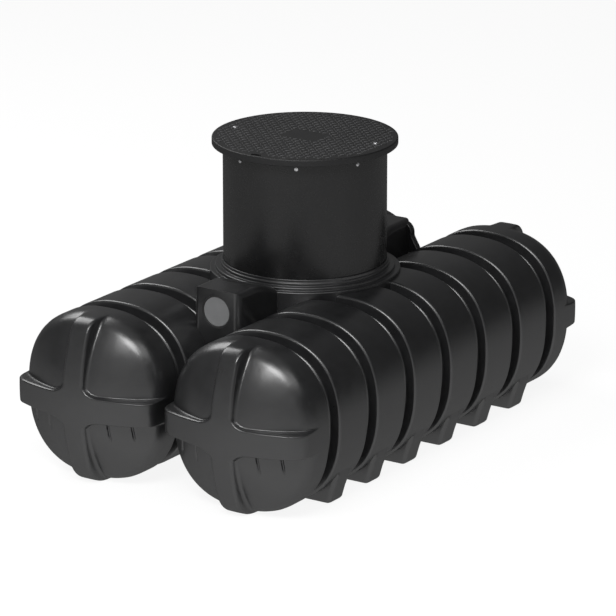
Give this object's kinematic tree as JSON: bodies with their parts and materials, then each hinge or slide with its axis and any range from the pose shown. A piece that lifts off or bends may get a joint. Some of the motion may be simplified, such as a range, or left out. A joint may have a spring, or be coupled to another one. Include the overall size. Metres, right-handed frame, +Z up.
{
  "type": "shallow twin-tube rainwater tank",
  "caption": "Black shallow rainwater tank: ribbed twin tubes with domed, cross-banded ends, a stepped collar, plugged pipe connectors and a round access shaft with a screwed walk-on cover.",
  "frame": {"origin": "on the floor under the shaft's axis, midway between the two tubes", "axes": "+Z up along the shaft, +Y along the tubes towards the back, +X across the tubes to the right"},
  "size_m": [1.229, 2.048, 1.12],
  "materials": {
    "tank_shell": "moulded black polyethylene, satin",
    "shaft_shell": "extruded black polyethylene, fine satin",
    "cover_plate": "moulded black plastic with anti-slip pattern",
    "plug_grey": "grey drainage plastic, matt",
    "seal_rubber": "black rubber",
    "screw_steel": "bright stainless steel"
  },
  "bodies": {
    "root": {"left_rib_1": "tank_shell", "left_rib_2": "tank_shell", "left_rib_3": "tank_shell", "left_rib_4": "tank_shell", "left_rib_5": "tank_shell", "left_rib_6": "tank_shell", "right_rib_1": "tank_shell", "right_rib_2": "tank_shell", "right_rib_3": "tank_shell", "right_rib_4": "tank_shell", "right_rib_5": "tank_shell", "right_rib_6": "tank_shell", "left_front_end": "tank_shell", "left_back_end": "tank_shell", "right_front_end": "tank_shell", "right_back_end": "tank_shell", "neck_collar": "tank_shell", "front_connector": "tank_shell", "back_connector": "tank_shell", "front_pipe_seal": "seal_rubber", "back_pipe_seal": "seal_rubber", "front_plug": "plug_grey", "back_plug": "plug_grey", "access_shaft": "shaft_shell", "cover_seat": "shaft_shell", "cover": "cover_plate"}
  },
  "joints": []
}
